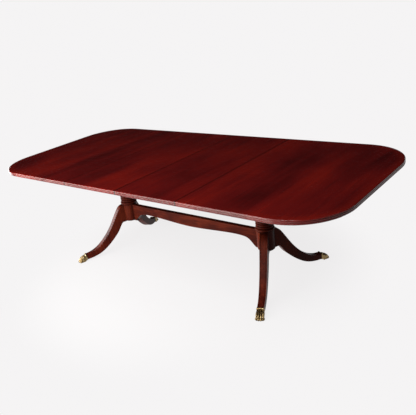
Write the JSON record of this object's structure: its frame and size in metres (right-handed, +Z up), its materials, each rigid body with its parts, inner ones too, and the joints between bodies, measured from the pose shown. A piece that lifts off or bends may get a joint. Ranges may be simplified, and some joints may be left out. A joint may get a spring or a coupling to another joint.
{
  "type": "double pedestal dining table",
  "caption": "Extending wooden dining table: rounded-corner top in sections with reeded edge, ring-turned pedestals, sabre legs with brass paw caps, shaped stretcher.",
  "frame": {"origin": "on the floor under the centre of the top", "axes": "+X along the length towards the right end, +Y away from the viewer across the width, +Z up"},
  "size_m": [2.72, 1.22, 0.76],
  "materials": {
    "mahogany_top": "polished red mahogany",
    "mahogany_base": "polished dark red mahogany",
    "slide_wood": "plain sanded hardwood",
    "pin_wood": "plain turned beech",
    "paw_brass": "cast and polished, slightly aged",
    "leg_iron": "black japanned plate",
    "screw_steel": "plain steel"
  },
  "bodies": {
    "base": {"left_column": "mahogany_base", "left_bearer": "slide_wood", "left_leg_plate": "leg_iron", "left_plate_screws": "screw_steel", "left_leg_front": "mahogany_base", "left_paw_front": "paw_brass", "left_leg_rear": "mahogany_base", "left_paw_rear": "paw_brass", "right_column": "mahogany_base", "right_bearer": "slide_wood", "right_leg_plate": "leg_iron", "right_plate_screws": "screw_steel", "right_leg_front": "mahogany_base", "right_paw_front": "paw_brass", "right_leg_rear": "mahogany_base", "right_paw_rear": "paw_brass", "slide_rail_front": "slide_wood", "slide_rail_rear": "slide_wood", "rail_screws": "screw_steel", "paw_screws": "screw_steel", "stretcher": "mahogany_base"},
    "left_end": {"left_end_top": "mahogany_top", "left_cleat": "slide_wood", "left_cleat_screws": "screw_steel", "left_runner_screws": "screw_steel", "left_runner_front": "slide_wood", "left_runner_rear": "slide_wood", "left_end_pins": "pin_wood"},
    "left_leaf": {"left_leaf": "mahogany_top", "left_leaf_pins": "pin_wood"},
    "right_leaf": {"right_leaf": "mahogany_top", "right_leaf_pins": "pin_wood"},
    "right_end": {"right_end_top": "mahogany_top", "right_cleat": "slide_wood", "right_cleat_screws": "screw_steel", "right_runner_screws": "screw_steel", "right_runner_front": "slide_wood", "right_runner_rear": "slide_wood"}
  },
  "joints": [
    {"name": "left_end_slide", "type": "slide", "parent": "base", "child": "left_end", "axis": [-1, 0, 0], "range_m": [0, 0.06]},
    {"name": "left_leaf_slide", "type": "slide", "parent": "base", "child": "left_leaf", "axis": [-1, 0, 0], "range_m": [0, 0.03]},
    {"name": "right_leaf_slide", "type": "slide", "parent": "base", "child": "right_leaf", "axis": [1, 0, 0], "range_m": [0, 0.03]},
    {"name": "right_end_slide", "type": "slide", "parent": "base", "child": "right_end", "axis": [1, 0, 0], "range_m": [0, 0.06]}
  ],
  "couplings": [
    {"joint": "left_leaf_slide", "follows": "left_end_slide", "ratio": 0.5},
    {"joint": "right_leaf_slide", "follows": "right_end_slide", "ratio": 0.5}
  ]
}
